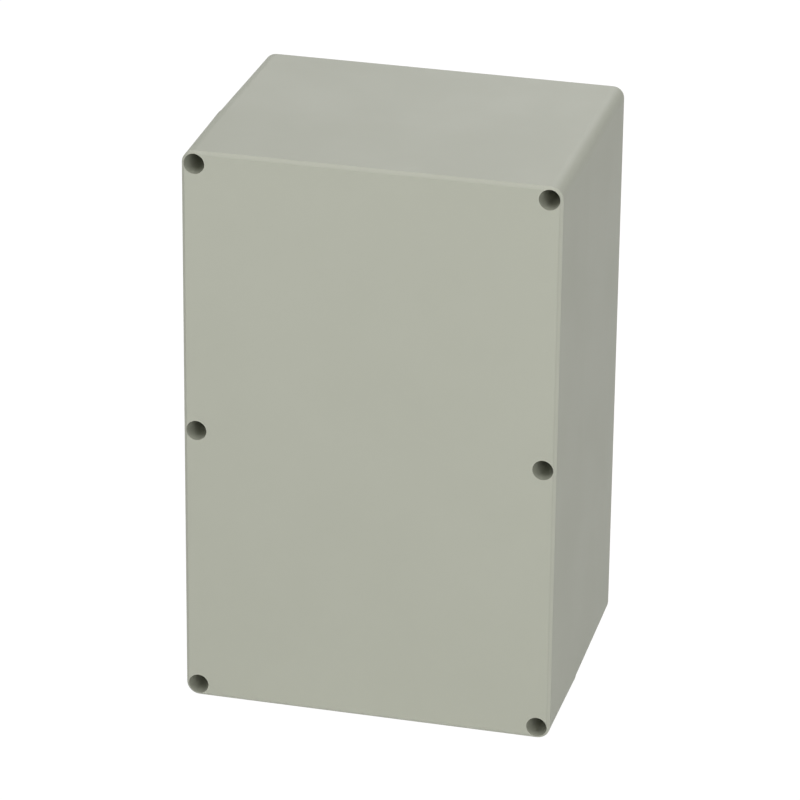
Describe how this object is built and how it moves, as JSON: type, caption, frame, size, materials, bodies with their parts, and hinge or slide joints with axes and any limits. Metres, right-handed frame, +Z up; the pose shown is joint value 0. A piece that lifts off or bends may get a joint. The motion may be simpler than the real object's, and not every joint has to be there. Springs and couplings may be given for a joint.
{
  "type": "plastic enclosure",
  "caption": "Upright moulded plastic enclosure: a deep lid held on a deeper base by captive screws in round channels, with a gasket between.",
  "frame": {"origin": "middle of the enclosure's overall box at its lowest edge, where it stands on its lower end", "axes": "+Z up along the long side, +X to the right seen from the front, the lid's face looks along -Y and the wall side along +Y"},
  "size_m": [0.16, 0.127, 0.25],
  "materials": {
    "housing": "satin fine-grained light pebble grey moulding",
    "seal": "soft black foamed gasket",
    "screw": "plain stainless steel",
    "retainer": "natural nylon washer",
    "insert": "turned brass"
  },
  "bodies": {
    "base": {"base": "housing", "threaded_insert_bottom_left": "insert", "threaded_insert_bottom_right": "insert", "threaded_insert_middle_left": "insert", "threaded_insert_middle_right": "insert", "threaded_insert_top_left": "insert", "threaded_insert_top_right": "insert"},
    "lid": {"lid": "housing", "gasket": "seal"},
    "lid_screw_bottom_left": {"lid_screw_bottom_left": "screw", "screw_retainer_bottom_left": "retainer"},
    "lid_screw_bottom_right": {"lid_screw_bottom_right": "screw", "screw_retainer_bottom_right": "retainer"},
    "lid_screw_middle_left": {"lid_screw_middle_left": "screw", "screw_retainer_middle_left": "retainer"},
    "lid_screw_middle_right": {"lid_screw_middle_right": "screw", "screw_retainer_middle_right": "retainer"},
    "lid_screw_top_left": {"lid_screw_top_left": "screw", "screw_retainer_top_left": "retainer"},
    "lid_screw_top_right": {"lid_screw_top_right": "screw", "screw_retainer_top_right": "retainer"}
  },
  "joints": [
    {"name": "lid_lift", "type": "slide", "parent": "base", "child": "lid", "axis": [0, -1, 0], "range_m": [0, 0.08]},
    {"name": "screw_turn_bottom_left", "type": "hinge", "parent": "lid", "child": "lid_screw_bottom_left", "pos_m": [-0.0741, -0.0205, 0.0059], "axis": [0, -1, 0], "continuous": true},
    {"name": "screw_turn_bottom_right", "type": "hinge", "parent": "lid", "child": "lid_screw_bottom_right", "pos_m": [0.0741, -0.0205, 0.0059], "axis": [0, -1, 0], "continuous": true},
    {"name": "screw_turn_middle_left", "type": "hinge", "parent": "lid", "child": "lid_screw_middle_left", "pos_m": [-0.0741, -0.0205, 0.125], "axis": [0, -1, 0], "continuous": true},
    {"name": "screw_turn_middle_right", "type": "hinge", "parent": "lid", "child": "lid_screw_middle_right", "pos_m": [0.0741, -0.0205, 0.125], "axis": [0, -1, 0], "continuous": true},
    {"name": "screw_turn_top_left", "type": "hinge", "parent": "lid", "child": "lid_screw_top_left", "pos_m": [-0.0741, -0.0205, 0.2441], "axis": [0, -1, 0], "continuous": true},
    {"name": "screw_turn_top_right", "type": "hinge", "parent": "lid", "child": "lid_screw_top_right", "pos_m": [0.0741, -0.0205, 0.2441], "axis": [0, -1, 0], "continuous": true}
  ]
}
